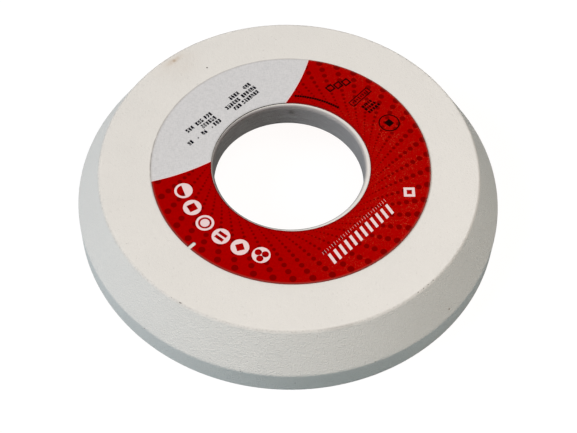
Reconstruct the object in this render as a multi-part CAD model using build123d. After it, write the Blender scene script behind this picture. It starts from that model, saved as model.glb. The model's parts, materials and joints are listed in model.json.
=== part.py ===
from build123d import *

import os
from math import acos, atan2, cos, hypot, pi, sin

# A flaring cup grinding wheel that lies on its rim, with its back and its printed blotter up.
# Millimetres, +Z up. The origin is on the wheel's axis, in the plane of the rim.

# The abrasive wheel, pressed and fired in one piece
wheel_diameter = 215.0  # across the straight band round the mouth
wheel_height = 35.0  # from the rim to the back face
bore_diameter = 76.0
back_wall = 13.5  # thickness that the mounting flanges clamp
band_height = 13.8  # straight band between the rim and the tapered side
side_flare = 12.1  # how far the band stands out past the edge of the back face
rim_width = 20.0  # flat ring at the mouth, which does the grinding
recess_fillet = 5.0  # round corner between the recess floor and the cup's inner wall
bore_chamfer = 0.8  # broken edge at both ends of the bore
edge_chamfer = 0.5  # corners of the side and the rim, broken with a dressing stone

# The two paper blotters, which spread the pressure of the flanges
blotter_diameter = 140.5
blotter_thickness = 0.6
bore_margin = 2.0  # the paper is cut back from the bore by this much
floor_margin = 1.5  # flat floor left bare round the inner blotter
back_shift = (0.75, 0.45)  # the printed blotter is glued on a little off the axis
notch_width = 2.0  # round-ended registration notch in the printed blotter's edge
notch_depth = 4.2
notch_direction = -132.7  # degrees from +X, about the printed blotter's centre
notch_corner = 0.4

floor_height = wheel_height - back_wall
bore_radius = bore_diameter / 2
blotter_radius = blotter_diameter / 2


def recess_corner(mouth_radius):
    """Gives the start, middle and end of the fillet between the recess floor and the cup's inner wall.

    The fillet leaves the floor where the floor's flat part ends. It stops at the point where a straight
    wall drawn up from the mouth just touches it.
    """
    centre_radius = blotter_radius + floor_margin
    centre_height = floor_height - recess_fillet
    mouth_reach = hypot(mouth_radius - centre_radius, centre_height)
    mouth_direction = atan2(-centre_height, mouth_radius - centre_radius)
    floor_angle = pi / 2
    wall_angle = mouth_direction + acos(recess_fillet / mouth_reach)
    points = []
    for angle in (floor_angle, (floor_angle + wall_angle) / 2, wall_angle):
        points.append((centre_radius + recess_fillet * cos(angle), centre_height + recess_fillet * sin(angle)))
    return points


def corners_at(outline, places):
    """Finds the corners of an outline that lie at the given places."""
    return [outline.vertices().sort_by_distance((x, y, 0))[0] for x, y in places]


def abrasive_wheel():
    """Turns the cup's half section about the wheel's axis."""
    rim_radius = wheel_diameter / 2
    back_radius = rim_radius - side_flare
    mouth_radius = rim_radius - rim_width
    corner_start, corner_middle, corner_end = recess_corner(mouth_radius)

    bore_ends = [(bore_radius, floor_height), (bore_radius, wheel_height)]
    outer_corners = [(back_radius, wheel_height), (rim_radius, band_height), (rim_radius, 0), (mouth_radius, 0)]
    straight_sides = Polyline(corner_start, *bore_ends, *outer_corners, corner_end)
    section = make_face(straight_sides + ThreePointArc(corner_end, corner_middle, corner_start))
    section = chamfer(corners_at(section, bore_ends), bore_chamfer)
    section = chamfer(corners_at(section, outer_corners), edge_chamfer)
    return revolve(Plane.XZ * section, Axis.Z)


def washer_outline():
    """Draws the ring that both blotters are punched to."""
    return Circle(blotter_radius) - Circle(bore_radius + bore_margin)


def printed_blotter():
    """Punches the notch into the edge of one washer and lays it on the back face."""
    notch_place = Rot(0, 0, notch_direction) * Pos(blotter_radius, 0)
    outline = washer_outline() - notch_place * SlotOverall(2 * notch_depth, notch_width)
    notch_mouth = outline.vertices().sort_by_distance(notch_place.position)[:2]
    outline = fillet(notch_mouth, notch_corner)
    return Pos(*back_shift, wheel_height) * extrude(outline, blotter_thickness)


def inner_blotter():
    """Holds the plain washer up against the recess floor."""
    return Pos(0, 0, floor_height - blotter_thickness) * extrude(washer_outline(), blotter_thickness)


os.makedirs("parts", exist_ok=True)
export_step(abrasive_wheel(), "parts/abrasive_wheel.step")
export_step(printed_blotter(), "parts/printed_blotter.step")
export_step(inner_blotter(), "parts/inner_blotter.step")
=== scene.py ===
import json
import random
from math import acos, atan2, cos, hypot, pi, radians, sin

import bmesh
import bpy
from mathutils import Matrix, Vector


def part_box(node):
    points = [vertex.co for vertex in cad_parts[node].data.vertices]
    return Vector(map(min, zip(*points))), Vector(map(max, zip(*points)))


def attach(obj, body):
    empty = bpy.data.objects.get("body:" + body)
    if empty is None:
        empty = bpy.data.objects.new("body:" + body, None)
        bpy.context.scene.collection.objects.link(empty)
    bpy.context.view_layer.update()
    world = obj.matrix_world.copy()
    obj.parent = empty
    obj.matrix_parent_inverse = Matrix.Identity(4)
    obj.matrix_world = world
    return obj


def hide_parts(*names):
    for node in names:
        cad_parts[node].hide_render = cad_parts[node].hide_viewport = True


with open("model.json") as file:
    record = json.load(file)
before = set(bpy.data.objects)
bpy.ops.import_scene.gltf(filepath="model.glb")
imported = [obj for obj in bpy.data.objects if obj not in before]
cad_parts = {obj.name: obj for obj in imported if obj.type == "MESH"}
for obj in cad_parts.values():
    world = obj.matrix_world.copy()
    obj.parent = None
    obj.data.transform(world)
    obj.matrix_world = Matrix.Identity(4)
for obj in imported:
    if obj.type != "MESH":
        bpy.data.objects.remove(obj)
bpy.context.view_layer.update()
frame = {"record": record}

# The abrasive wheel. White alumina grains and a glassy bond, pressed to the shape of a shallow cup and fired
# in one piece, then its back trued with a diamond. It lies on its rim, with that back up.
mm = 0.001
hair = 0.01 * mm
mounts = {mount["name"]: mount for mount in frame["record"]["mounts"]}
back_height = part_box("abrasive_wheel")[1].z
rim_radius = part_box("abrasive_wheel")[1].x
bore_radius = mounts["bore"]["dims"]["r_mm"] * mm
floor_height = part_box("inner_blotter")[1].z
side_flare = 12.1 * mm
band_height = 13.8 * mm
rim_width = 20 * mm
recess_flat_radius = 71.75 * mm
recess_fillet = 5 * mm
bore_chamfer = 0.8 * mm
dressed_edge = 0.7 * mm
edge_roughness = 0.05 * mm
flat_reach = 1.3 * mm
back_radius = rim_radius - side_flare
mouth_radius = rim_radius - rim_width
wheel_sides = 720
fillet_steps = 8


def turned(name, outline, sides, middle=(0, 0)):
    """Turns a closed outline of (radius, height) corners about the upright line through the middle."""
    bpy.ops.object.select_all(action="DESELECT")
    radius, height = outline[0]
    bpy.ops.mesh.primitive_circle_add(vertices=sides, radius=radius, location=(*middle, height))
    piece = bpy.context.object
    piece.name = name
    bpy.ops.object.transform_apply()
    bpy.ops.object.mode_set(mode="EDIT")
    bpy.ops.mesh.select_mode(type="EDGE")
    bpy.ops.mesh.select_all(action="SELECT")
    for next_radius, next_height in outline[1:]:
        bpy.ops.mesh.extrude_edges_move()
        share = next_radius / radius
        bpy.ops.transform.resize(value=(share, share, 1), center_override=(*middle, height))
        bpy.ops.transform.translate(value=(0, 0, next_height - height))
        radius, height = next_radius, next_height
    bpy.ops.mesh.select_all(action="DESELECT")
    bpy.ops.mesh.select_non_manifold()
    bpy.ops.mesh.bridge_edge_loops()
    bpy.ops.mesh.select_all(action="SELECT")
    bpy.ops.mesh.normals_make_consistent(inside=False)
    bpy.ops.object.mode_set(mode="OBJECT")
    return piece


def pick(piece, wanted):
    """In edit mode, selects only the corners that are wanted, with the edges and faces between them."""
    bpy.ops.mesh.select_mode(type="VERT")
    bpy.ops.mesh.select_all(action="DESELECT")
    mesh = bmesh.from_edit_mesh(piece.data)
    for corner in mesh.verts:
        corner.select_set(wanted(corner.co))
    mesh.select_flush_mode()
    bmesh.update_edit_mesh(piece.data)


def near_circle(radius, height, reach):
    """Says whether a point is close to the circle of that radius and height about the axis."""
    return lambda place: hypot(hypot(place.x, place.y) - radius, place.z - height) < reach


def towards(here, there, reach):
    """Gives the point that lies the reach away from here, on the way there."""
    share = reach / hypot(there[0] - here[0], there[1] - here[1])
    return here[0] + (there[0] - here[0]) * share, here[1] + (there[1] - here[1]) * share


def hold_flat(outline, corners, reach):
    """Adds a point close to both sides of those corners, so that only the corners shade as round."""
    held = []
    for number, here in enumerate(outline):
        before, after = outline[number - 1], outline[(number + 1) % len(outline)]
        if here in corners:
            held += [towards(here, before, reach), here, towards(here, after, reach)]
        else:
            held.append(here)
    return held


fillet_height = floor_height - recess_fillet
mouth_reach = hypot(mouth_radius - recess_flat_radius, fillet_height)
mouth_angle = atan2(-fillet_height, mouth_radius - recess_flat_radius)
wall_angle = mouth_angle + acos(recess_fillet / mouth_reach)
recess_corner = []
for step in range(fillet_steps + 1):
    angle = wall_angle + (pi / 2 - wall_angle) * step / fillet_steps
    corner_radius = recess_flat_radius + recess_fillet * cos(angle)
    corner_height = fillet_height + recess_fillet * sin(angle)
    recess_corner.append((corner_radius, corner_height))
bore_corners = [(bore_radius, floor_height), (bore_radius, back_height)]
outer_corners = [(back_radius, back_height), (rim_radius, band_height), (rim_radius, 0), (mouth_radius, 0)]
section = [*bore_corners, *outer_corners, *recess_corner]
section = hold_flat(section, bore_corners + outer_corners, flat_reach)
wheel = turned("abrasive_cup", section, wheel_sides)
bpy.ops.object.mode_set(mode="EDIT")
for radius, height in bore_corners:
    pick(wheel, near_circle(radius, height, hair))
    bpy.ops.mesh.bevel(offset=bore_chamfer, segments=2, affect="EDGES")
for radius, height in outer_corners:
    pick(wheel, near_circle(radius, height, hair))
    bpy.ops.mesh.bevel(offset=dressed_edge, segments=3, affect="EDGES")
for radius, height in outer_corners[:2]:
    pick(wheel, near_circle(radius, height, 0.8 * dressed_edge))
    bpy.ops.transform.vertex_random(offset=edge_roughness, seed=4)
bpy.ops.object.mode_set(mode="OBJECT")


def node(tree, kind, inputs=(), **settings):
    """Adds a shader node, sets it, and gives each input a value or the output of another node."""
    made = tree.nodes.new(kind)
    for name, value in settings.items():
        setattr(made, name, value)
    for name, value in dict(inputs).items():
        if isinstance(value, bpy.types.NodeSocket):
            tree.links.new(value, made.inputs[name])
        else:
            made.inputs[name].default_value = value
    return made


def maths(tree, operation, first, second=0.0):
    """Does one step of arithmetic on two numbers."""
    return node(tree, "ShaderNodeMath", {0: first, 1: second}, operation=operation).outputs[0]


def plus(tree, first, second):
    """Adds two numbers."""
    return maths(tree, "ADD", first, second)


def minus(tree, first, second):
    """Takes the second number from the first."""
    return maths(tree, "SUBTRACT", first, second)


def times(tree, first, second):
    """Multiplies two numbers."""
    return maths(tree, "MULTIPLY", first, second)


def on_vectors(tree, operation, first, second=(0, 0, 0)):
    """Does one step of arithmetic on two places, and gives the node's outputs."""
    return node(tree, "ShaderNodeVectorMath", {0: first, 1: second}, operation=operation).outputs


def fade(tree, value, start, stop, low=0.0, high=1.0):
    """Turns a value smoothly from low at start to high at stop."""
    ends = {"Value": value, "From Min": start, "From Max": stop, "To Min": low, "To Max": high}
    return node(tree, "ShaderNodeMapRange", ends, interpolation_type="SMOOTHSTEP").outputs[0]


def blend(tree, share, first, second):
    """Mixes two colours: all of the first at 0, all of the second at 1."""
    made = node(tree, "ShaderNodeMix", data_type="RGBA")
    for socket, value in ((made.inputs[0], share), (made.inputs[6], first), (made.inputs[7], second)):
        if isinstance(value, bpy.types.NodeSocket):
            tree.links.new(value, socket)
        else:
            socket.default_value = value
    return made.outputs[2]


def cover(tree, colour, over, mask, share):
    """Lays one colour over another where the mask is 1, up to the share."""
    return blend(tree, times(tree, mask, share), colour, over)


def noise(tree, place, size, detail=2.0, rough=0.5):
    """Gives cloudy noise from 0 to 1, with clouds of about the given size."""
    settings = {"Vector": place, "Scale": 1 / size, "Detail": detail, "Roughness": rough}
    return node(tree, "ShaderNodeTexNoise", settings).outputs["Fac"]


def stretched(tree, place, scale):
    """Scales the places that a pattern is read at: over 1 squeezes it that way, under 1 draws it out."""
    return node(tree, "ShaderNodeMapping", {"Vector": place, "Scale": scale}).outputs[0]


def new_material(name):
    """Starts a material and gives its node tree, its Principled shader and the object coordinates."""
    material = bpy.data.materials.new(name)
    material.use_nodes = True
    tree = material.node_tree
    place = node(tree, "ShaderNodeTexCoord").outputs["Object"]
    return material, tree, tree.nodes["Principled BSDF"], place


def set_surface(tree, shader, colour, roughness, shine):
    """Gives a shader its colour, its roughness and how much it shines."""
    tree.links.new(colour, shader.inputs["Base Color"])
    shader.inputs["Roughness"].default_value = roughness
    shader.inputs["Specular IOR Level"].default_value = shine


def set_relief(tree, shader, height, strength, depth):
    """Gives a shader a fine relief of that depth."""
    bump = node(tree, "ShaderNodeBump", {"Strength": strength, "Distance": depth, "Height": height})
    tree.links.new(bump.outputs[0], shader.inputs["Normal"])


def spot(tree, place, centre, reach, soft):
    """Marks the surface round one point, fading out over the soft width."""
    away = on_vectors(tree, "DISTANCE", place, centre)["Value"]
    return fade(tree, away, reach + soft, reach)


def band_of(tree, value, middle, reach):
    """Gives 1 where a value is at the middle, and fades to 0 at the reach either side."""
    away = maths(tree, "ABSOLUTE", minus(tree, value, middle))
    return fade(tree, away, reach, 0.0)


def from_axis(tree, place, middle=(0, 0)):
    """Gives the distance from the upright line through the middle."""
    apart = on_vectors(tree, "SUBTRACT", place, (*middle, 0))[0]
    level = on_vectors(tree, "MULTIPLY", apart, (1, 1, 0))[0]
    return on_vectors(tree, "LENGTH", level)["Value"]


def on_wheel(angle, radius, height):
    """Gives a place on the wheel by its angle round the axis, in degrees."""
    return radius * cos(radians(angle)), radius * sin(radians(angle)), height


def new_group(name, inputs, outputs):
    """Starts a node group and gives its node tree, its inputs and its outputs."""
    tree = bpy.data.node_groups.new(name, "ShaderNodeTree")
    for title, kind in inputs.items():
        tree.interface.new_socket(title, in_out="INPUT", socket_type="NodeSocket" + kind)
    for title, kind in outputs.items():
        tree.interface.new_socket(title, in_out="OUTPUT", socket_type="NodeSocket" + kind)
    return tree, node(tree, "NodeGroupInput").outputs, node(tree, "NodeGroupOutput").inputs


# A node group for the open grain of the wheel and its chips: crystals side by side, with pores between them.
grain, given, result = new_group(
    "alumina_grain", {"Place": "Vector", "Crystal size": "Float"},
    {"Height": "Float", "Tone": "Float", "Pore": "Float"})
clump_share = 0.35
per_crystal = maths(grain, "DIVIDE", 1.0, given["Crystal size"])
per_clump = maths(grain, "DIVIDE", clump_share, given["Crystal size"])
crystals = node(grain, "ShaderNodeTexVoronoi", {"Vector": given["Place"], "Scale": per_crystal})
clumps = {"Vector": given["Place"], "Scale": per_clump, "Detail": 3.0, "Roughness": 0.6}
clump_tone = node(grain, "ShaderNodeTexNoise", clumps).outputs["Fac"]
crystal_tone = node(grain, "ShaderNodeSeparateColor", {"Color": crystals.outputs["Color"]}).outputs[0]
dome = fade(grain, crystals.outputs["Distance"], 0.75, 0.0)
between_clumps = fade(grain, clump_tone, 0.40, 0.30)
missing_crystal = fade(grain, crystal_tone, 0.4, 0.2)
pore = times(grain, between_clumps, missing_crystal)
height = plus(grain, times(grain, dome, 0.5), clump_tone)
height = minus(grain, height, times(grain, pore, 0.8))
tone = plus(grain, times(grain, crystal_tone, 0.4), times(grain, clump_tone, 0.6))
grain.links.new(height, result["Height"])
grain.links.new(tone, result["Tone"])
grain.links.new(pore, result["Pore"])


def add_grain(tree, place, size):
    """Puts the grain group into a material."""
    return node(tree, "ShaderNodeGroup", {"Place": place, "Crystal size": size}, node_tree=grain).outputs


card_low, card_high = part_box("printed_blotter")
card_middle = ((card_low.x + card_high.x) / 2, (card_low.y + card_high.y) / 2)
card_radius = (card_high.x - card_low.x) / 2
white_alumina = (0.745, 0.718, 0.669, 1)
grey_crystal = (0.60, 0.585, 0.55, 1)
dust_and_shade_grey = (0.25, 0.22, 0.19, 1)
dark_speck_and_shade = (0.06, 0.045, 0.04, 1)
matt_stone = 0.95
stone_shine = 0.15
alumina, tree, shader, place = new_material("fired_white_alumina")
along_x, along_y, along_z = node(tree, "ShaderNodeSeparateXYZ", {0: place}).outputs
radius = from_axis(tree, place)

# Its plain surface. The back is trued smooth, and all below it is as pressed, with pits and a faint mottle.
wheel_crystal = 0.45 * mm
cloud_size = 30 * mm
mottle_size = 1.3 * mm
pit_size = 0.65 * mm
pit_strength = 3.4
relief_depth = 0.16 * mm
grains = add_grain(tree, place, wheel_crystal)
colour = blend(tree, fade(tree, grains["Tone"], 0.30, 0.75, 0.0, 0.12), white_alumina, grey_crystal)
cloudy = fade(tree, noise(tree, place, cloud_size), 0.35, 0.7, 0.0, 0.10)
colour = blend(tree, cloudy, colour, grey_crystal)
as_pressed = fade(tree, along_z, back_height - 0.3 * mm, back_height - 1.2 * mm)
mottle = fade(tree, noise(tree, place, mottle_size, 3.0, 0.7), 0.35, 0.65)
colour = cover(tree, colour, grey_crystal, times(tree, mottle, as_pressed), 0.07)
colour = cover(tree, colour, dark_speck_and_shade, grains["Pore"], 0.08)
pits = times(tree, noise(tree, place, pit_size, 0.5), as_pressed)
pits = times(tree, pits, fade(tree, along_x, -95 * mm, -40 * mm, 0.35, 1.0))
relief = plus(tree, grains["Height"], times(tree, pits, pit_strength))

# An old brown stain on the back: a wide tint, a streak along the edge and a dark core.
stain_place = (-62.9 * mm, 67.0 * mm, back_height)
stain_turn = radians(43)
stain_narrowness = 0.3
old_stain = (0.50, 0.37, 0.25, 1)
stain_core = (0.36, 0.23, 0.12, 1)
tint = times(tree, spot(tree, place, stain_place, 1 * mm, 19 * mm), noise(tree, place, 6 * mm))
colour = cover(tree, colour, old_stain, tint, 0.22)
beside_stain = on_vectors(tree, "SUBTRACT", place, stain_place)[0]
turned_back = {"Vector": beside_stain, "Rotation": (0, 0, stain_turn), "Scale": (1, stain_narrowness, 1)}
long_stain = node(tree, "ShaderNodeMapping", turned_back, vector_type="TEXTURE").outputs[0]
streak = times(tree, spot(tree, long_stain, (0, 0, 0), 0.5 * mm, 7.5 * mm), noise(tree, place, 1.5 * mm))
colour = cover(tree, colour, old_stain, streak, 0.75)
core = times(tree, spot(tree, place, stain_place, 0.3 * mm, 1.6 * mm), noise(tree, place, 0.8 * mm))
colour = blend(tree, fade(tree, core, 0.1, 0.6, 0.0, 0.45), colour, stain_core)

# A black speck on the back, a brown pit in the taper and a grey speck on the band.
black_speck = (0.015, 0.012, 0.01, 1)
brown_pit = (0.34, 0.27, 0.22, 1)
speck_place = (-45.2 * mm, 62.9 * mm, back_height)
pit_place = on_wheel(-41.1, 105.63 * mm, 17.08 * mm)
rim_speck_place = on_wheel(-86.7, rim_radius, 7.3 * mm)
colour = blend(tree, spot(tree, place, speck_place, 0.34 * mm, 0.12 * mm), colour, black_speck)
colour = blend(tree, spot(tree, place, pit_place, 0.25 * mm, 0.5 * mm), colour, brown_pit)
colour = blend(tree, spot(tree, place, rim_speck_place, 0.1 * mm, 0.4 * mm), colour, dust_and_shade_grey)

# Dust rubbed into the back's outer corner, and painted shade on it, most of all along one stretch at the
# front.
front_corner_place = on_wheel(-74, back_radius, back_height)
corner_dust_and_shade = band_of(tree, radius, back_radius, 1.05 * mm)
corner_dust_and_shade_share = fade(tree, noise(tree, place, 1.2 * mm, 3.0, 0.7), 0.40, 0.75, 0.12, 0.42)
corner_dust_and_shade_share = times(tree, corner_dust_and_shade_share, fade(tree, along_x, 20 * mm, 90 * mm, 1.0, 0.45))
colour = cover(tree, colour, dust_and_shade_grey, corner_dust_and_shade, corner_dust_and_shade_share)
front_corner_dust_and_shade = times(tree, corner_dust_and_shade, spot(tree, place, front_corner_place, 3 * mm, 7 * mm))
colour = cover(tree, colour, dust_and_shade_grey, front_corner_dust_and_shade, 0.24)

# Dust caught against the card's edge, and a painted contact shadow at its foot, most of all at the back left.
card_foot_shadow_and_dust = band_of(tree, from_axis(tree, place, card_middle), card_radius + 0.1 * mm, 0.75 * mm)
card_foot_shadow_and_dust_share = fade(tree, noise(tree, place, 5 * mm), 0.3, 0.6, 0.25, 0.6)
card_foot_shadow_and_dust_share = times(tree, card_foot_shadow_and_dust_share, fade(tree, minus(tree, along_y, along_x), 35 * mm, 65 * mm, 0.25, 1.2))
colour = cover(tree, colour, dust_and_shade_grey, card_foot_shadow_and_dust, card_foot_shadow_and_dust_share)

# The bore's wall, painted grey as shade, darker and browner at the left where less light falls, with streaks
# round it and one dark smear.
bore_shade_middle = (-0.1 * mm, 0.45 * mm)
smear_place = on_wheel(90, bore_radius, 31.1 * mm)
bore_shade_grey = (0.325, 0.312, 0.305, 1)
bore_deep_shade_brown = (0.255, 0.236, 0.231, 1)
bore_shade_pale = (0.40, 0.385, 0.375, 1)
along_bore = stretched(tree, place, (1, 1, 8))
bore_painted_shade = blend(tree, fade(tree, along_x, -10 * mm, 36 * mm), bore_deep_shade_brown, bore_shade_grey)
grey_streaks = fade(tree, noise(tree, along_bore, 9 * mm, 4.0, 0.65), 0.35, 0.65, 0.0, 0.6)
bore_painted_shade = blend(tree, grey_streaks, bore_painted_shade, bore_shade_grey)
light_streaks = fade(tree, noise(tree, along_bore, 7 * mm, 3.0, 0.7), 0.50, 0.66, 0.0, 0.45)
bore_painted_shade = blend(tree, light_streaks, bore_painted_shade, bore_shade_pale)
from_bore = from_axis(tree, place, bore_shade_middle)
# The painted shade also covers the chamfer and a narrow ring of the back round the bore.
bore_shade_share = fade(tree, from_bore, bore_radius + 1.75 * mm, bore_radius + 0.35 * mm)
colour = blend(tree, bore_shade_share, colour, bore_painted_shade)
# Painted shade on the top of the bore's edge, on its left side.
shaded_left = fade(tree, along_x, 25 * mm, -15 * mm, 0.0, 0.55)
broken_edge = fade(tree, along_z, back_height - 1.2 * mm, back_height - 0.5 * mm)
bore_edge_shade = times(tree, band_of(tree, radius, bore_radius + 0.3 * mm, 0.9 * mm), shaded_left)
colour = cover(tree, colour, dark_speck_and_shade, bore_edge_shade, broken_edge)
smear = times(tree, spot(tree, place, smear_place, 0.3 * mm, 2.6 * mm), noise(tree, place, 1.5 * mm))
colour = cover(tree, colour, dark_speck_and_shade, smear, 0.8)
set_surface(tree, shader, colour, matt_stone, stone_shine)
set_relief(tree, shader, relief, 0.65, relief_depth)

# Small chips along the wheel's edges, where grains broke out in handling. Each is a rough hollow, cut out of
# the wheel, its faces painted dark as dust and as shade in the hollow. Seven lie at the front of the back's
# corner, and the others at random.
chip_crystal = 0.4 * mm
chip_depth = 0.12 * mm
chip_shape = (0.7, 1.5, 0.6)
chip_roughness = 0.3
chip_dust_and_shade_dark = (0.09, 0.075, 0.06, 1)
chip_dust_and_shade_light = (0.26, 0.23, 0.20, 1)
chipped, tree, shader, place = new_material("chip_dust_and_shade")
grains = add_grain(tree, place, chip_crystal)
colour = blend(tree, fade(tree, grains["Tone"], 0.3, 0.7), chip_dust_and_shade_dark, chip_dust_and_shade_light)
set_surface(tree, shader, colour, matt_stone, stone_shine)
set_relief(tree, shader, grains["Height"], 0.8, chip_depth)


def cut_away(piece, cutters):
    """Takes the cutters' shape out of a piece and removes them. The cut faces keep the cutters' material."""
    bpy.ops.object.select_all(action="DESELECT")
    for cutter in cutters:
        cutter.select_set(True)
    bpy.context.view_layer.objects.active = cutters[0]
    if len(cutters) > 1:
        bpy.ops.object.join()
    cut = piece.modifiers.new("cut", "BOOLEAN")
    cut.operation = "DIFFERENCE"
    cut.solver = "MANIFOLD"
    cut.material_mode = "TRANSFER"
    cut.object = cutters[0]
    bpy.context.view_layer.objects.active = piece
    bpy.ops.object.modifier_apply(modifier=cut.name)
    bpy.data.objects.remove(cutters[0])


def chip(angle, radius, height, size):
    """Makes one rough lump, longer along the edge than across, to be cut out of the wheel."""
    bpy.ops.mesh.primitive_ico_sphere_add(
        subdivisions=2, radius=size, location=on_wheel(angle, radius, height),
        rotation=(0, 0, radians(angle)), scale=chip_shape)
    lump = bpy.context.object
    bpy.ops.object.transform_apply()
    bpy.ops.object.mode_set(mode="EDIT")
    bpy.ops.transform.vertex_random(offset=chip_roughness * size, seed=int(abs(angle) * 10))
    bpy.ops.object.mode_set(mode="OBJECT")
    lump.data.materials.append(chipped)
    return lump


front_chips = [
    (-120.8, 0.65), (-123.9, 0.42), (-48.7, 0.5), (-47.4, 0.42), (-46.6, 0.4), (-44.7, 0.5), (-42.6, 0.45)]
chipped_edges = [
    (back_radius, back_height, 24), (rim_radius, band_height, 12), (rim_radius, 0, 14), (mouth_radius, 0, 8)]
smallest_chip = 0.22
largest_chip = 0.42
shaded_turn = radians(28)
wheel.data.materials.append(alumina)
wheel.data.materials.append(chipped)
chips = [chip(angle, back_radius, back_height, size * mm) for angle, size in front_chips]
dice = random.Random(7)
for radius, height, count in chipped_edges:
    for turn in range(count):
        angle = 360 * (turn + dice.uniform(0.2, 0.8)) / count + 3
        chips.append(chip(angle, radius, height, dice.uniform(smallest_chip, largest_chip) * mm))
cut_away(wheel, chips)
bpy.ops.object.select_all(action="DESELECT")
wheel.select_set(True)
bpy.context.view_layer.objects.active = wheel
bpy.ops.object.shade_smooth_by_angle(angle=shaded_turn)
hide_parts("abrasive_wheel")
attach(wheel, "root")

# The printed blotter's card. A washer of soft white card, die-cut with a round-ended notch in its edge, and
# glued a little off the wheel's axis. Its cut edge is painted dark as shade and stained by the print, which
# is a little out of register.
card_hole = bore_radius + 2 * mm
ink_depth = 0.04 * mm
card_top = card_high.z - 2 * ink_depth
notch_angle = radians(-132.7)
notch_width = 2 * mm
notch_depth = 4.2 * mm
card_sides = 512
card_rounding = 0.08 * mm
print_middle = (1.7 * mm, 1.1 * mm)
sector_direction = radians(137.84)
sector_circle = 112.44 * mm
sector_distance = 139.24 * mm
sector_middle = (print_middle[0] + sector_distance * cos(sector_direction),
                 print_middle[1] + sector_distance * sin(sector_direction))
bare_card = (0.78, 0.605, 0.59, 1)
bare_card_dark = (0.74, 0.57, 0.555, 1)
red_stain_and_shade_edge = (0.24, 0.035, 0.03, 1)
red_stain_and_shade_edge_dark = (0.17, 0.02, 0.018, 1)
hole_edge_shade = (0.05, 0.045, 0.04, 1)
outer_edge_dust_and_shade = (0.38, 0.35, 0.32, 1)

# A node group for the card's fibres, which show through every print on it.
fibre_size = 0.5 * mm
flock_size = 3 * mm
fibre_relief = 0.03 * mm
card_roughness = 0.75
fibres, given, result = new_group("card_fibres", {"Place": "Vector"}, {"Tone": "Float", "Height": "Float"})
lengthways = stretched(fibres, given["Place"], (1, 0.25, 1))
crossways = stretched(fibres, given["Place"], (0.25, 1, 1))
strands = plus(fibres, noise(fibres, lengthways, fibre_size, 3.0), noise(fibres, crossways, fibre_size, 3.0))
flocks = noise(fibres, given["Place"], flock_size, 4.0, 0.6)
tone = plus(fibres, times(fibres, strands, 0.4), times(fibres, flocks, 0.2))
fibres.links.new(tone, result["Tone"])
fibres.links.new(strands, result["Height"])


def card_finish(name, colour, mottled, mottle=0.3, shine=0.1):
    """Makes the finish of card, plain or printed: its colour, clouded by the fibres under it."""
    material, tree, shader, place = new_material(name)
    made = node(tree, "ShaderNodeGroup", {"Place": place}, node_tree=fibres)
    cloudy = blend(tree, fade(tree, made.outputs["Tone"], 0.40, 0.62, 0.0, mottle), colour, mottled)
    set_surface(tree, shader, cloudy, card_roughness, shine)
    set_relief(tree, shader, made.outputs["Height"], 0.5, fibre_relief)
    return material, tree, shader, place, cloudy


def washer(name, middle, outer, inner, bottom, top, sides=card_sides):
    """Makes a flat ring."""
    return turned(name, [(outer, bottom), (outer, top), (inner, top), (inner, bottom)], sides, middle)


def puck(radius, x, y, bottom, top, sides=48):
    """Makes an upright round plug, to cut with or to print as a disc."""
    middle = (x, y, (bottom + top) / 2)
    bpy.ops.mesh.primitive_cylinder_add(vertices=sides, radius=radius, depth=top - bottom, location=middle)
    bpy.ops.object.transform_apply()
    return bpy.context.object


def notch_cutter(width, depth, bottom, top):
    """Makes a plug with a round end, which stands across the card's edge at the notch."""
    root = card_radius - depth + width / 2
    plug = puck(width / 2, root, 0, bottom, top)
    bpy.ops.object.mode_set(mode="EDIT")
    pick(plug, lambda place: place.x > root + hair)
    bpy.ops.transform.translate(value=(2 * depth, 0, 0))
    bpy.ops.object.mode_set(mode="OBJECT")
    plug.location = (*card_middle, 0)
    plug.rotation_euler.z = notch_angle
    bpy.ops.object.transform_apply()
    return plug


def dress_card(piece, face, edge, rounding, level):
    """Rounds the cut edges of a card's open face at that level, and gives the cut edges their own finish."""
    piece.data.materials.clear()
    piece.data.materials.append(face)
    piece.data.materials.append(edge)
    bpy.context.view_layer.objects.active = piece
    bpy.ops.object.mode_set(mode="EDIT")
    mesh = bmesh.from_edit_mesh(piece.data)
    bpy.ops.mesh.select_mode(type="EDGE")
    bpy.ops.mesh.select_all(action="DESELECT")
    for line in mesh.edges:
        on_open_face = all(abs(corner.co.z - level) < hair for corner in line.verts)
        line.select_set(on_open_face and abs(line.calc_face_angle(0)) > 1)
    bmesh.update_edit_mesh(piece.data)
    bpy.ops.mesh.bevel(offset=rounding, segments=2, affect="EDGES")
    bpy.ops.object.mode_set(mode="OBJECT")
    for side in piece.data.polygons:
        side.material_index = 0 if abs(side.normal.z) > 0.95 else 1


card_face, *_ = card_finish("pinkish_card_face", bare_card, bare_card_dark)
# The cut edge is painted dark as shade: near black by the hole, dark grey as dust and shade towards the rim,
# and dark red where the red print has stained it.
card_edge, tree, shader, place, red_stain_and_shade = card_finish(
    "stained_shaded_cut_edge", red_stain_and_shade_edge, red_stain_and_shade_edge_dark, mottle=1.0)
outwards = fade(tree, from_axis(tree, place, card_middle), card_hole + mm, card_radius - mm)
unstained = blend(tree, outwards, hole_edge_shade, outer_edge_dust_and_shade)
in_red = fade(tree, from_axis(tree, place, sector_middle), sector_circle - 0.5 * mm, sector_circle)
colour = blend(tree, in_red, unstained, red_stain_and_shade)
tree.links.new(colour, shader.inputs["Base Color"])
card = washer("blotter_card", card_middle, card_radius, card_hole, card_low.z, card_top)
cut_away(card, [notch_cutter(notch_width, notch_depth, card_low.z - mm, card_top + mm)])
dress_card(card, card_face, card_edge, card_rounding, card_top)
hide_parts("printed_blotter")
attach(card, "root")

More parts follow.
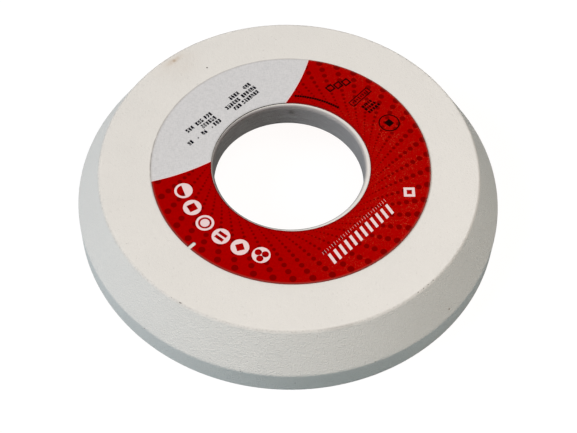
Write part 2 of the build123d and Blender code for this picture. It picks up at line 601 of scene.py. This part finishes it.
# The grey field. One sector of the card is printed light grey, inside a big circle that overlaps the washer.
# A thin white line is left between it and the red.
white_gap = 0.5 * mm
ink_bottom = card_top - hair
ink_top = card_top + ink_depth
edge_setback = 0.08 * mm
rim_dark_reach = 1.25 * mm
grey_print = (0.64, 0.63, 0.625, 1)
grey_print_dark = (0.56, 0.555, 0.55, 1)
grey_rim_dark = (0.30, 0.26, 0.23, 1)
grey_hole_dark = (0.20, 0.19, 0.18, 1)


def ink_film(name):
    """Makes a film of ink over the whole washer, short of its cut edges, with the notch left out."""
    outer, inner = card_radius - edge_setback, card_hole + edge_setback
    film = washer(name, card_middle, outer, inner, ink_bottom, ink_top)
    wider, deeper = notch_width + 2 * edge_setback, notch_depth + edge_setback
    cut_away(film, [notch_cutter(wider, deeper, card_low.z, card_high.z)])
    return film


def keep_inside(piece, cutter):
    """Keeps only what lies inside the cutter."""
    keep = piece.modifiers.new("keep", "BOOLEAN")
    keep.operation = "INTERSECT"
    keep.solver = "MANIFOLD"
    keep.object = cutter
    bpy.context.view_layer.objects.active = piece
    bpy.ops.object.modifier_apply(modifier=keep.name)
    bpy.data.objects.remove(cutter)


def big_circle(radius):
    """Makes the round plug whose rim parts the grey field from the red one."""
    return puck(radius, *sector_middle, card_low.z, card_high.z + mm, 720)


def finish_print(piece, ink):
    """Gives a printed piece its ink and puts it on the blotter."""
    piece.data.materials.clear()
    piece.data.materials.append(ink)
    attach(piece, "root")


# A node group that darkens a print along the card's two cut edges.
rim_darkening, given, result = new_group(
    "darker_rims",
    {"Place": "Vector", "Print": "Color", "Rim darkening": "Color", "Hole darkening": "Color", "Share": "Float"},
    {"Colour": "Color"})
past_middle = from_axis(rim_darkening, given["Place"], card_middle)
at_rim = band_of(rim_darkening, past_middle, card_radius, rim_dark_reach)
at_hole = band_of(rim_darkening, past_middle, card_hole, rim_dark_reach)
darkened = cover(rim_darkening, given["Print"], given["Rim darkening"], at_rim, given["Share"])
darkened = cover(rim_darkening, darkened, given["Hole darkening"], at_hole, given["Share"])
rim_darkening.links.new(darkened, result["Colour"])


def darken_rims(tree, place, colour, rim_soil, hole_soil, share):
    """Puts the darker rims into a print's material."""
    soils = {"Place": place, "Print": colour, "Rim darkening": rim_soil, "Hole darkening": hole_soil, "Share": share}
    return node(tree, "ShaderNodeGroup", soils, node_tree=rim_darkening).outputs["Colour"]


grey_ink, tree, shader, place, colour = card_finish("light_grey_ink", grey_print, grey_print_dark, mottle=1.0)
colour = darken_rims(tree, place, colour, grey_rim_dark, grey_hole_dark, 0.33)
tree.links.new(colour, shader.inputs["Base Color"])
grey_field = ink_film("grey_field")
keep_inside(grey_field, big_circle(sector_circle - white_gap))
finish_print(grey_field, grey_ink)

# The red field. It covers the rest of the card. Six round windows with plain shapes in them, slanting bars,
# a row of fine ticks and a lozenge are left bare. Rings of darker dots grow towards the card's edge.
red_print = (0.335, 0.0, 0.0, 1)
thin_red = (0.44, 0.0, 0.0, 1)
thick_red = (0.30, 0.0, 0.0, 1)
dark_red = (0.178, 0.0, 0.0, 1)
scuffed_red = (0.50, 0.07, 0.03, 1)
red_rim_dark = (0.19, 0.08, 0.06, 1)
red_hole_dark = (0.03, 0.005, 0.005, 1)
dots_middle = (1.66 * mm, 1.1 * mm, 0)
dots_per_ring = 45
first_ring = 68.03 * mm
first_dot = -0.056
ring_pole = 36.02 * mm
ring_ratio = 0.8733
ring_turn = 0.25
dot_share = 0.052
dot_spread = 0.05 * mm

# Each ring's distance from the pole circle is a fixed share of the last one's, and it is turned a quarter of
# a dot's step past that one.
red_paint, tree, shader, place, cloudy = card_finish("red_ink", red_print, thick_red, shine=0.0)
centred = on_vectors(tree, "SUBTRACT", place, dots_middle)[0]
along_x, along_y, _ = node(tree, "ShaderNodeSeparateXYZ", {0: centred}).outputs
level = node(tree, "ShaderNodeCombineXYZ", {"X": along_x, "Y": along_y}).outputs[0]
out = on_vectors(tree, "LENGTH", level)["Value"]
dot_step = 2 * pi / dots_per_ring
turn = maths(tree, "DIVIDE", maths(tree, "ARCTAN2", along_y, along_x), dot_step)
turn = minus(tree, turn, first_dot)
reach = minus(tree, out, ring_pole)
first_reach = first_ring - ring_pole
ring = maths(tree, "LOGARITHM", maths(tree, "DIVIDE", reach, first_reach), ring_ratio)
ring = maths(tree, "ROUND", ring)
ring_reach = times(tree, maths(tree, "POWER", ring_ratio, ring), first_reach)
turn = plus(tree, turn, times(tree, ring, ring_turn))
off_turn = minus(tree, turn, maths(tree, "ROUND", turn))
sideways = times(tree, times(tree, off_turn, dot_step), out)
outwards = minus(tree, reach, ring_reach)
from_dot = node(tree, "ShaderNodeCombineXYZ", {"X": sideways, "Y": outwards}).outputs[0]
from_dot = on_vectors(tree, "LENGTH", from_dot)["Value"]
dot_size = plus(tree, times(tree, ring_reach, dot_share), dot_spread)
dot = fade(tree, maths(tree, "DIVIDE", from_dot, dot_size), 1.08, 0.92)

# The ink lies thinner in small clouds. Towards the right it is lightened by a painted sheen, and scuffed in
# small flecks.
ink_clouds = fade(tree, noise(tree, place, 1.1 * mm, 3.0, 0.6), 0.3, 0.7, 0.0, 0.5)
colour = blend(tree, ink_clouds, cloudy, thin_red)
right_sheen_and_scuffs = fade(tree, along_x, -10 * mm, 50 * mm)
# Painted sheen: the red is lighter towards the right.
colour = cover(tree, colour, thin_red, right_sheen_and_scuffs, 0.2)
patches = fade(tree, noise(tree, place, 9 * mm), 0.35, 0.62, 0.25, 1.0)
flecks = fade(tree, noise(tree, place, 0.6 * mm, 2.0, 0.7), 0.55, 0.72)
flecks = times(tree, flecks, times(tree, patches, right_sheen_and_scuffs))
colour = cover(tree, colour, scuffed_red, flecks, 0.8)
colour = cover(tree, colour, dark_red, dot, 0.93)
colour = darken_rims(tree, place, colour, red_rim_dark, red_hole_dark, 0.5)
tree.links.new(colour, shader.inputs["Base Color"])

row_direction = radians(47.2)
window_bottom = card_low.z
window_top = card_high.z + mm


def row_place(along, out):
    """Gives the place so far along the print's rows, and so far out from the wheel's axis across them."""
    x = along * cos(row_direction) + out * sin(row_direction)
    y = along * sin(row_direction) - out * cos(row_direction)
    return x, y


def round_place(middle, angle, radius):
    """Gives the place at that angle and radius about the middle of an arc."""
    return middle[0] + radius * cos(angle), middle[1] + radius * sin(angle)


def tablet(width, depth, middle, direction, bottom, top, lean=0.0):
    """Makes a flat block, its width along the direction and its far side pushed along by the lean."""
    bpy.ops.mesh.primitive_cube_add(size=1, scale=(width, depth, top - bottom))
    block = bpy.context.object
    bpy.ops.object.transform_apply()
    if lean:
        bpy.ops.object.mode_set(mode="EDIT")
        for side in (-1, 1):
            pick(block, lambda place: place.y * side > 0)
            bpy.ops.transform.translate(value=(side * lean * depth / 2, 0, 0))
        bpy.ops.object.mode_set(mode="OBJECT")
    block.location = (*middle, (bottom + top) / 2)
    block.rotation_euler.z = direction
    bpy.ops.object.transform_apply()
    return block


def join(pieces, name):
    """Joins pieces into the first of them."""
    bpy.ops.object.select_all(action="DESELECT")
    for piece in pieces:
        piece.select_set(True)
    bpy.context.view_layer.objects.active = pieces[0]
    bpy.ops.object.join()
    pieces[0].name = name
    return pieces[0]


window_radius = 4.55 * mm
window_arc = 61.4 * mm
window_arc_middle = (5.17 * mm, 4.94 * mm)
window_count = 6
first_window = -158.39
window_step = 10.415
window_angles = [radians(first_window + window_step * count) for count in range(window_count)]
window_places = [round_place(window_arc_middle, angle, window_arc) for angle in window_angles]
windows = [big_circle(sector_circle)]
windows += [puck(window_radius, *middle, window_bottom, window_top) for middle in window_places]

bar_row = 53.3 * mm
bar_count = 12
first_bar = -25.1 * mm
bar_pitch = 3.72 * mm
bar_width = 1.65 * mm
bar_length = 6 * mm
slant = 0.25
for count in range(bar_count):
    middle = row_place(first_bar + bar_pitch * count, bar_row)
    windows.append(tablet(bar_width, bar_length, middle, row_direction, window_bottom, window_top, slant))

tick_row = 48.15 * mm
tick_count = 28
first_tick = -26.1 * mm
tick_pitch = 1.636 * mm
tick_width = 0.17 * mm
tick_lengths = (1.1, 1.5, 1.9)
tick_dice = random.Random(11)
for count in range(tick_count):
    middle = row_place(first_tick + tick_pitch * count, tick_row)
    tick_length = tick_dice.choice(tick_lengths) * mm
    windows.append(tablet(tick_width, tick_length, middle, row_direction, window_bottom, window_top, slant))

lozenge_middle = row_place(30.5 * mm, bar_row)
lozenge_turn = row_direction + pi / 4
lozenge_size = 5.6 * mm
lozenge_centre = 2.6 * mm
windows.append(tablet(lozenge_size, lozenge_size, lozenge_middle, lozenge_turn, window_bottom, window_top))
red_field = ink_film("red_field")
cut_away(red_field, windows)

# The shapes in the windows: a half disc, a square, a hoop, two bars, a lozenge and three dots.
shape_radius = 3.3 * mm
hoop_hole = 2.3 * mm
square_side = 4.2 * mm
lozenge_side = 3.8 * mm
pair_spacing = 1.4 * mm
pair_width = 1.7 * mm
pair_length = 4.8 * mm
trio_spread = 2.1 * mm
trio_radius = 1.75 * mm
half_disc = puck(shape_radius, *window_places[0], ink_bottom, ink_top)
bpy.ops.object.mode_set(mode="EDIT")
bpy.ops.mesh.select_all(action="SELECT")
bpy.ops.mesh.bisect(
    plane_co=(*window_places[0], 0), plane_no=(cos(window_angles[0]), sin(window_angles[0]), 0),
    use_fill=True, clear_inner=True)
bpy.ops.object.mode_set(mode="OBJECT")
square = tablet(square_side, square_side, window_places[1], window_angles[1], ink_bottom, ink_top)
hoop = washer("hoop", window_places[2], shape_radius, hoop_hole, ink_bottom, ink_top, 48)
shapes = [half_disc, square, hoop]
for side in (-1, 1):
    middle = round_place(window_arc_middle, window_angles[3], window_arc + pair_spacing * side)
    shapes.append(tablet(pair_width, pair_length, middle, window_angles[3], ink_bottom, ink_top))
turned_square = window_angles[4] + pi / 4
shapes.append(tablet(lozenge_side, lozenge_side, window_places[4], turned_square, ink_bottom, ink_top))
for count in range(3):
    middle = round_place(window_places[5], window_angles[5] + 2 * pi * count / 3, trio_spread)
    shapes.append(puck(trio_radius, *middle, ink_bottom, ink_top, 24))
shapes.append(tablet(lozenge_centre, lozenge_centre, lozenge_middle, lozenge_turn, ink_bottom, ink_top))
join([red_field, *shapes], "red_field")
finish_print(red_field, red_paint)

# Small black marks printed over the red: a dashed arc, an outlined box with bars in it, three rows of bars,
# three open lozenges and a ring round a square. They are plain shapes and say nothing.
over_bottom = ink_top - hair
over_top = card_high.z
black_print = (0.008, 0.001, 0.001, 1)
black_print_light = (0.02, 0.002, 0.002, 1)
black_ink, *_ = card_finish("black_ink", black_print, black_print_light, shine=0.0)
marks = []

arc_radius = 44.95 * mm
arc_middle = (0.25 * mm, 0.35 * mm)
arc_start = radians(58.1)
dash_count = 19
dash_step = radians(1.65)
dash_length = 1.1 * mm
dash_depth = 1.3 * mm
for count in range(dash_count):
    angle = arc_start + dash_step * count
    middle = round_place(arc_middle, angle, arc_radius)
    marks.append(tablet(dash_length, dash_depth, middle, angle + pi / 2, over_bottom, over_top))

box_middle = Vector((35.45, 45.9)) * mm
box_turn = radians(49.7)
box_along = Vector((cos(box_turn), sin(box_turn)))
box_across = Vector((-sin(box_turn), cos(box_turn)))
box_width = 14.5 * mm
box_depth = 4 * mm
line = 0.55 * mm
for side in (-1, 1):
    middle = box_middle + box_across * side * (box_depth - line) / 2
    marks.append(tablet(box_width, line, middle, box_turn, over_bottom, over_top))
    middle = box_middle + box_along * side * (box_width - line) / 2
    marks.append(tablet(line, box_depth - 3 * line, middle, box_turn, over_bottom, over_top))
box_bars = 8
box_bar_pitch = 1.5 * mm
box_bar_width = 0.7 * mm
short_bar = 1.2 * mm
tall_bar = 1.9 * mm
for count in range(box_bars):
    middle = box_middle + box_along * (count - (box_bars - 1) / 2) * box_bar_pitch
    bar_depth = tall_bar if count % 2 else short_bar
    marks.append(tablet(box_bar_width, bar_depth, middle, box_turn, over_bottom, over_top))

bar_rows_middle = Vector((40.9, 40.35)) * mm
bar_rows_pitch = 2.3 * mm
bar_rows_start = -4 * mm
bar_rows_end = 3 * mm
bar_gap = 0.45 * mm
row_bar_depth = 1.6 * mm
thinnest_bar = 0.6
thickest_bar = 1.5
mark_dice = random.Random(5)
for row in (-1, 0, 1):
    along = bar_rows_start
    while along < bar_rows_end:
        width = mark_dice.uniform(thinnest_bar, thickest_bar) * mm
        middle = bar_rows_middle + Vector(row_place(along + width / 2, -bar_rows_pitch * row))
        marks.append(tablet(width, row_bar_depth, middle, row_direction, over_bottom, over_top))
        along += width + bar_gap

open_middle = Vector((24, 53.5)) * mm
open_pitch = 4.4 * mm
open_climb = 1.5 * mm
open_outside = 2.9 * mm
open_inside = 1.8 * mm
for count in (-1, 0, 1):
    middle = open_middle + Vector(row_place(count * open_pitch, count * open_climb))
    marks.append(washer("open_lozenge", middle, open_outside, open_inside, over_bottom, over_top, 4))

ring_middle = (50.4 * mm, 29.5 * mm)
ring_outside = 5.5 * mm
ring_inside = 4.85 * mm
ring_square = 3.7 * mm
marks.append(washer("ring_mark", ring_middle, ring_outside, ring_inside, over_bottom, over_top, 64))
marks.append(tablet(ring_square, ring_square, ring_middle, row_direction, over_bottom, over_top))
black_marks = join(marks, "black_marks")
finish_print(black_marks, black_ink)

# Rows of dots sprayed on the grey field by a coding machine. Each cell is filled at random, so they spell
# nothing. A row is given by its distance from the axis and its runs, each a start and a number of cells.
sprayed_black = (0.006, 0.006, 0.01, 1)
sprayed_black_light = (0.02, 0.02, 0.028, 1)
jet_ink, *_ = card_finish("coding_ink", sprayed_black, sprayed_black_light, shine=0.0)
cell_pitch = 1.65 * mm
dots_across = 4
dots_up = 6
dot_pitch = cell_pitch / dots_across
dot_gap = 0.012 * mm
left_out = 0.12
jet_dice = random.Random(23)
jet_rows = {
    -45.35: ((11.75, 7), (5.75, 3), (-8.8, 3), (-17.15, 2), (-26.7, 2)),
    -48.55: ((14.35, 6), (2.95, 6), (-14.3, 6)),
    -51.87: ((18.75, 3), (8.75, 4), (-9.2, 3), (-15.2, 3), (-21.85, 3))}
single_dots = (-10.5, -20.35)
single_row = -44.8 * mm
single_size = 0.7 * mm


def sprayed_cells(along, out, cells):
    """Sprays one run of cells: a grid of small squares, some left out, the rest as thick as the ink."""
    columns = cells * dots_across
    bpy.ops.mesh.primitive_grid_add(x_subdivisions=columns, y_subdivisions=dots_up, size=1)
    run = bpy.context.object
    bpy.ops.object.mode_set(mode="EDIT")
    bpy.ops.mesh.select_mode(type="FACE")
    bpy.ops.mesh.select_all(action="SELECT")
    bpy.ops.transform.resize(value=(columns * dot_pitch, dots_up * dot_pitch, 1))
    mesh = bmesh.from_edit_mesh(run.data)
    for square in mesh.faces:
        from_start = square.calc_center_median().x + columns * dot_pitch / 2
        column = round(from_start / dot_pitch - 0.5)
        between_cells = column % dots_across == dots_across - 1
        square.select_set(between_cells or jet_dice.random() < left_out)
    bmesh.update_edit_mesh(run.data)
    bpy.ops.mesh.delete(type="FACE")
    bpy.ops.mesh.select_all(action="SELECT")
    bpy.ops.mesh.inset(thickness=dot_gap, use_individual=True)
    bpy.ops.mesh.select_all(action="INVERT")
    bpy.ops.mesh.delete(type="FACE")
    bpy.ops.object.mode_set(mode="OBJECT")
    film = run.modifiers.new("film", "SOLIDIFY")
    film.thickness = over_top - over_bottom
    film.offset = 1
    bpy.ops.object.modifier_apply(modifier=film.name)
    run.location = (*row_place(along + columns * dot_pitch / 2, out), over_bottom)
    run.rotation_euler.z = row_direction
    bpy.ops.object.transform_apply()
    return run


runs = []
for out, starts in jet_rows.items():
    for along, cells in starts:
        runs.append(sprayed_cells(along * mm, out * mm, cells))
for along in single_dots:
    middle = row_place(along * mm, single_row)
    runs.append(tablet(single_size, single_size, middle, row_direction, over_bottom, over_top))
coded_rows = join(runs, "coded_rows")
finish_print(coded_rows, jet_ink)

# The inner blotter. A plain washer of soft card, glued to the recess floor under the other mounting flange,
# with its open face down.
inner_low, inner_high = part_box("inner_blotter")
inner_rounding = 0.12 * mm
plain_card = (0.50, 0.50, 0.47, 1)
plain_card_dark = (0.43, 0.43, 0.40, 1)
plain_cut = (0.38, 0.36, 0.33, 1)
plain_cut_dark = (0.30, 0.28, 0.25, 1)
plain_face, *_ = card_finish("plain_card_face", plain_card, plain_card_dark, mottle=0.6)
plain_edge, *_ = card_finish("plain_cut_edge", plain_cut, plain_cut_dark, mottle=1.0)
inner_card = washer("inner_card", (0, 0), inner_high.x, card_hole, inner_low.z, inner_high.z)
dress_card(inner_card, plain_face, plain_edge, inner_rounding, inner_low.z)
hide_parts("inner_blotter")
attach(inner_card, "root")

# The floor and the backdrop, plain and pale. Seen directly they are white but for the wheel's shadow, and the
# light that they throw on the wheel is dimmer and a little blue.
floor_size = 6
floor_gap = 0.2 * mm
shadow_share = 0.28
floor_blue = (0.14, 0.26, 0.32, 1)
floor_white = (1, 0.966, 0.949, 1)
floor_glow = 1.37
backdrop_blue = (0.95, 0.98, 1.0, 1)
backdrop_white = (1, 1, 1, 1)
backdrop_light = 0.03


def seen_directly(tree):
    """Says whether the camera sees this, straight, mirrored or through glass."""
    ray = node(tree, "ShaderNodeLightPath").outputs
    mirrored = maths(tree, "MAXIMUM", ray["Is Glossy Ray"], ray["Is Transmission Ray"])
    return maths(tree, "MAXIMUM", ray["Is Camera Ray"], mirrored)


bpy.ops.mesh.primitive_plane_add(size=floor_size, location=(0, 0, -floor_gap))
floor = bpy.context.object
floor.name = "floor"
paving = bpy.data.materials.new("pale_floor")
paving.use_nodes = True
tree = paving.node_tree
tree.nodes.clear()
matt = node(tree, "ShaderNodeBsdfDiffuse", {"Color": floor_blue})
white = node(tree, "ShaderNodeEmission", {"Color": floor_white, "Strength": floor_glow})
share = times(tree, seen_directly(tree), 1 - shadow_share)
mixed = node(tree, "ShaderNodeMixShader", {0: share, 1: matt.outputs[0], 2: white.outputs[0]})
node(tree, "ShaderNodeOutputMaterial", {"Surface": mixed.outputs[0]})
floor.data.materials.append(paving)

world = bpy.data.worlds.new("studio")
bpy.context.scene.world = world
world.use_nodes = True
tree = world.node_tree
tree.nodes.clear()
soft = node(tree, "ShaderNodeBackground", {"Color": backdrop_blue, "Strength": backdrop_light})
white = node(tree, "ShaderNodeBackground", {"Color": backdrop_white, "Strength": 1.0})
mixed = node(tree, "ShaderNodeMixShader", {0: seen_directly(tree), 1: soft.outputs[0], 2: white.outputs[0]})
node(tree, "ShaderNodeOutputWorld", {"Surface": mixed.outputs[0]})

# The lamps and the camera. A wide warm lamp hangs over the front, a cool one stands to the left, and a weak
# one fills the back. A lamp is given by its azimuth and elevation, its distance, its size and its watts.
warm_light = (1.0, 0.939, 0.875)
cool_light = (0.912, 0.942, 1.0)
fill_light = (0.95, 0.98, 1.0)
camera_place = Vector((0.398, -417.807, 595.098)) * mm
camera_elevation = radians(55.3478)
camera_roll = radians(1.9525)


def add_lamp(azimuth, elevation, distance, size, energy, colour):
    """Hangs a round soft lamp, aimed at the wheel."""
    direction = Vector(on_wheel(azimuth, cos(radians(elevation)), sin(radians(elevation))))
    bpy.ops.object.light_add(type="AREA", location=direction * distance)
    lamp = bpy.context.object
    lamp.rotation_euler = direction.to_track_quat("Z", "Y").to_euler()
    lamp.data.shape = "DISK"
    lamp.data.size = size
    lamp.data.energy = energy
    lamp.data.color = colour


add_lamp(-41, 62, 1.23, 1.3, 11.25, warm_light)
add_lamp(-164, 39, 7.25, 3.6, 411, cool_light)
add_lamp(95, 15, 3.0, 1.5, 15, fill_light)
bpy.ops.object.camera_add()
camera = bpy.context.object
camera.matrix_world = (Matrix.Translation(camera_place) @ Matrix.Rotation(pi / 2 - camera_elevation, 4, "X")
                       @ Matrix.Rotation(camera_roll, 4, "Z"))
camera.data.sensor_width = 36
camera.data.lens = 86.868
bpy.context.scene.camera = camera
bpy.context.scene.view_settings.view_transform = "Standard"
